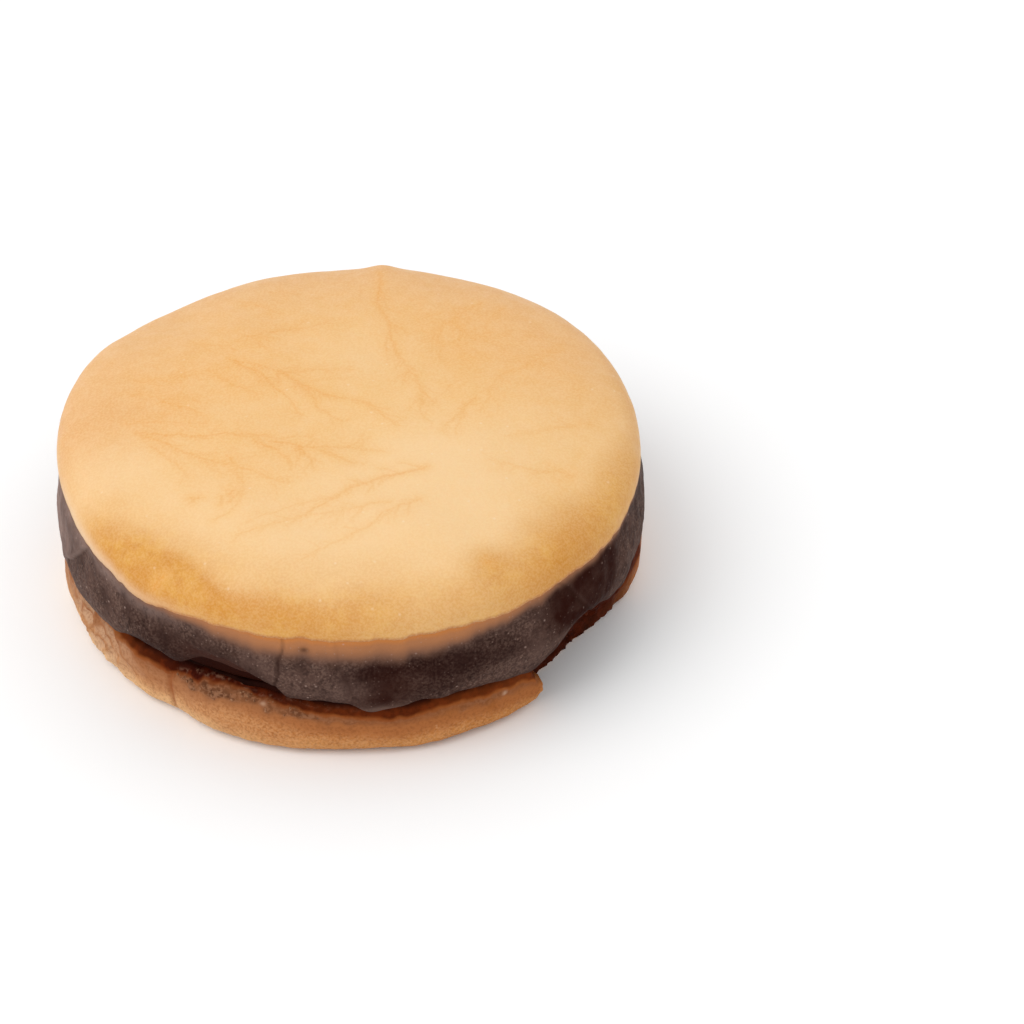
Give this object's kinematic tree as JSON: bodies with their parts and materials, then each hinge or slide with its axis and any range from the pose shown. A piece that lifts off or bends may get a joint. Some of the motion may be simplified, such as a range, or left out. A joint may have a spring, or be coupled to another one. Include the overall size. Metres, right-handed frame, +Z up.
{
  "type": "alfajor cookie",
  "caption": "Round glazed sandwich cookie: a domed top biscuit, a dark filling that bulges and drips at the side, and a flat bottom biscuit with a broken edge.",
  "frame": {"origin": "centre of the underside, on the plane that the cookie rests on", "axes": "+Z up through the layers, +Y to the back, +X to the right; the broken edge of the bottom biscuit is at the front right"},
  "size_m": [0.0646, 0.0646, 0.0229],
  "materials": {
    "baked_biscuit": "tan baked biscuit under a thin satin sugar glaze, dry and crumbly where it is broken",
    "dark_filling": "dark brown caramel filling under a satin glaze with a pale sugar bloom",
    "sugar_glaze": "smooth satin sugar glaze, pale amber with fine darker veins"
  },
  "bodies": {
    "root": {"bottom_biscuit": "baked_biscuit", "filling": "dark_filling", "top_biscuit": "sugar_glaze"}
  },
  "joints": []
}
